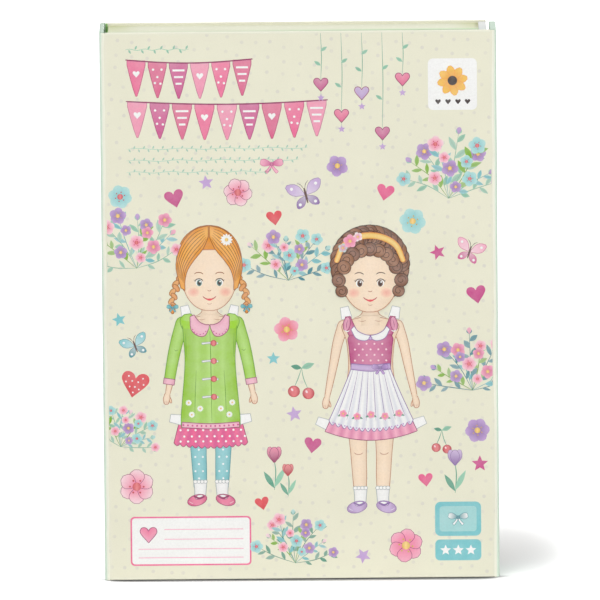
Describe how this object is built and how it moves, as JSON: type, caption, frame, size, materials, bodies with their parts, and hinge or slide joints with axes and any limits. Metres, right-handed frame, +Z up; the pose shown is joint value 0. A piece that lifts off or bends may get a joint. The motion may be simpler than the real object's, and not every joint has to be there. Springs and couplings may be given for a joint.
{
  "type": "boxed paper doll set",
  "caption": "Book-style card box that opens to the left over a tray, with die-cut card dolls, paper outfits, press-out sheets, card feet and pencils inside.",
  "frame": {"origin": "middle of the closed case's footprint, on the surface it stands on", "axes": "+X to the right as seen from the front cover (spine to flap), +Y from the front cover to the back cover, +Z up"},
  "size_m": [0.175, 0.032, 0.245],
  "materials": {
    "greyboard": "matte",
    "cover_print": "satin",
    "mint_print": "satin",
    "tray_print": "satin",
    "white_paper": "matte",
    "lining_paper": "matte",
    "insert_card": "matte",
    "sheet_print": "satin",
    "doll_card": "satin",
    "outfit_paper": "satin",
    "magnet": "satin",
    "keeper": "satin",
    "pencil_wood": "gloss",
    "pencil_lead": "matte",
    "band_paper": "matte"
  },
  "bodies": {
    "tray_body": {"back_board": "greyboard", "back_wrap": "mint_print", "back_lining": "lining_paper", "hinge_paper_back": "mint_print", "tray_floor": "greyboard", "tray_floor_lining": "white_paper", "tray_top_wall": "greyboard", "tray_bottom_wall": "greyboard", "tray_spine_wall": "greyboard", "tray_flap_wall_inner": "greyboard", "tray_flap_wall_outer": "greyboard", "keeper_lower": "keeper", "keeper_upper": "keeper", "tray_wrap": "tray_print", "tray_flap_wrap": "white_paper", "insert": "insert_card", "outfit_sheet_1": "sheet_print", "outfit_sheet_2": "sheet_print", "outfit_sheet_3": "sheet_print", "outfit_sheet_4": "sheet_print", "doll_foot_1": "mint_print", "doll_foot_2": "mint_print"},
    "spine_body": {"spine_board": "greyboard", "spine_wrap": "mint_print", "spine_lining": "lining_paper", "hinge_paper_front": "cover_print"},
    "cover_body": {"front_board": "greyboard", "front_wrap": "cover_print", "front_lining": "lining_paper", "hinge_paper_flap": "mint_print"},
    "flap_body": {"flap_board": "greyboard", "flap_wrap": "mint_print", "flap_lining": "white_paper", "flap_magnet_lower": "magnet", "flap_magnet_upper": "magnet"},
    "doll_1_body": {"doll_1": "doll_card", "dress_1": "outfit_paper"},
    "doll_2_body": {"doll_2": "doll_card", "coat_2": "outfit_paper"},
    "pencils_body": {"pencil_1": "pencil_wood", "pencil_2": "pencil_wood", "pencil_3": "pencil_wood", "pencil_4": "pencil_wood", "pencil_5": "pencil_wood", "pencil_leads": "pencil_lead", "pencil_band": "band_paper"}
  },
  "joints": [
    {"name": "spine_hinge", "type": "hinge", "parent": "tray_body", "child": "spine_body", "pos_m": [-0.0869, 0.0154, 0.1225], "axis": [0, 0, -1], "range_deg": [0, 90], "deforming": ["hinge_paper_back"]},
    {"name": "cover_hinge", "type": "hinge", "parent": "spine_body", "child": "cover_body", "pos_m": [-0.0869, -0.0154, 0.1225], "axis": [0, 0, -1], "range_deg": [0, 90], "deforming": ["hinge_paper_front"]},
    {"name": "flap_hinge", "type": "hinge", "parent": "cover_body", "child": "flap_body", "pos_m": [0.0869, -0.0154, 0.1225], "axis": [0, 0, -1], "range_deg": [0, 110], "deforming": ["hinge_paper_flap"]},
    {"name": "doll_1_lift", "type": "slide", "parent": "tray_body", "child": "doll_1_body", "axis": [0, -1, 0], "range_m": [0, 0.007]},
    {"name": "doll_2_lift", "type": "slide", "parent": "tray_body", "child": "doll_2_body", "axis": [0, -1, 0], "range_m": [0, 0.007]},
    {"name": "pencils_lift", "type": "slide", "parent": "tray_body", "child": "pencils_body", "axis": [0, -1, 0], "range_m": [0, 0.006]}
  ],
  "couplings": [
    {"joint": "spine_hinge", "follows": "cover_hinge", "ratio": 1}
  ]
}
